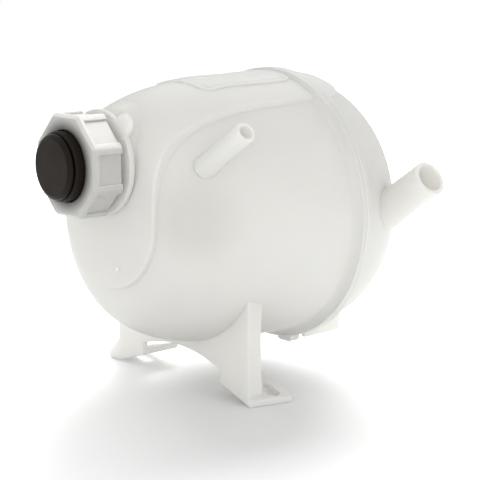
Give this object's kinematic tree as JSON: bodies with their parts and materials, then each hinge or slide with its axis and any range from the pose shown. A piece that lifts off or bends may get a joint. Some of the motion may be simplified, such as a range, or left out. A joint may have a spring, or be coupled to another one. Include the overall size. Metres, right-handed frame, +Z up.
{
  "type": "coolant expansion tank",
  "caption": "Translucent round coolant expansion tank of two welded half shells, with splayed slotted feet, a hose spigot, a return spigot and a screw pressure cap",
  "frame": {"origin": "middle of the two foot slots, on the underside of the pads", "axes": "+Z up as the tank stands on its feet, +Y along the tank axis from the neck to the rear dome, +X toward the side with both spigots"},
  "size_m": [0.1875, 0.2088, 0.178],
  "materials": {
    "tank_plastic": "milky translucent moulded polypropylene, softly glossy",
    "nut_plastic": "white moulded plastic, satin",
    "insert_plastic": "near-black brown moulded plastic, fine satin with a glossy rim",
    "ring_plastic": "pale engineering plastic",
    "seal_rubber": "black moulded rubber",
    "spring_steel": "bright drawn wire and spring strip"
  },
  "bodies": {
    "tank": {"front_shell": "tank_plastic", "rear_shell": "tank_plastic"},
    "cartridge": {"valve_body": "insert_plastic", "cap_cover": "insert_plastic", "rim_gasket": "seal_rubber", "neck_oring": "seal_rubber", "seat_cup": "insert_plastic", "spring_retainer": "insert_plastic", "pressure_spring": "spring_steel"},
    "nut": {"cap_nut": "nut_plastic", "retaining_ring": "spring_steel", "slip_ring": "ring_plastic"},
    "pressure_valve": {"pressure_plate": "ring_plastic", "pressure_seal": "seal_rubber", "vacuum_spring": "spring_steel"},
    "vacuum_valve": {"vacuum_poppet": "ring_plastic", "vacuum_seal": "seal_rubber", "vacuum_clip": "spring_steel"}
  },
  "joints": [
    {"name": "cap_turn", "type": "hinge", "parent": "cartridge", "child": "nut", "pos_m": [0, -0.0927, 0.13007], "axis": [0, -1, 0], "range_deg": [0, 720]},
    {"name": "cap_lift", "type": "slide", "parent": "tank", "child": "cartridge", "axis": [0, -1, 0], "range_m": [0, 0.008]},
    {"name": "pressure_valve_lift", "type": "slide", "parent": "cartridge", "child": "pressure_valve", "axis": [0, -1, 0], "range_m": [0, 0.0025], "stiffness_N_per_m": 6000, "springref_m": -0.005, "deforming": ["pressure_spring"]},
    {"name": "vacuum_valve_open", "type": "slide", "parent": "pressure_valve", "child": "vacuum_valve", "axis": [0, 1, 0], "range_m": [0, 0.0015], "stiffness_N_per_m": 300, "springref_m": -0.002, "deforming": ["vacuum_spring"]}
  ],
  "couplings": [
    {"joint": "cap_lift", "follows": "cap_turn", "m_per_rad": 0.0006366}
  ]
}
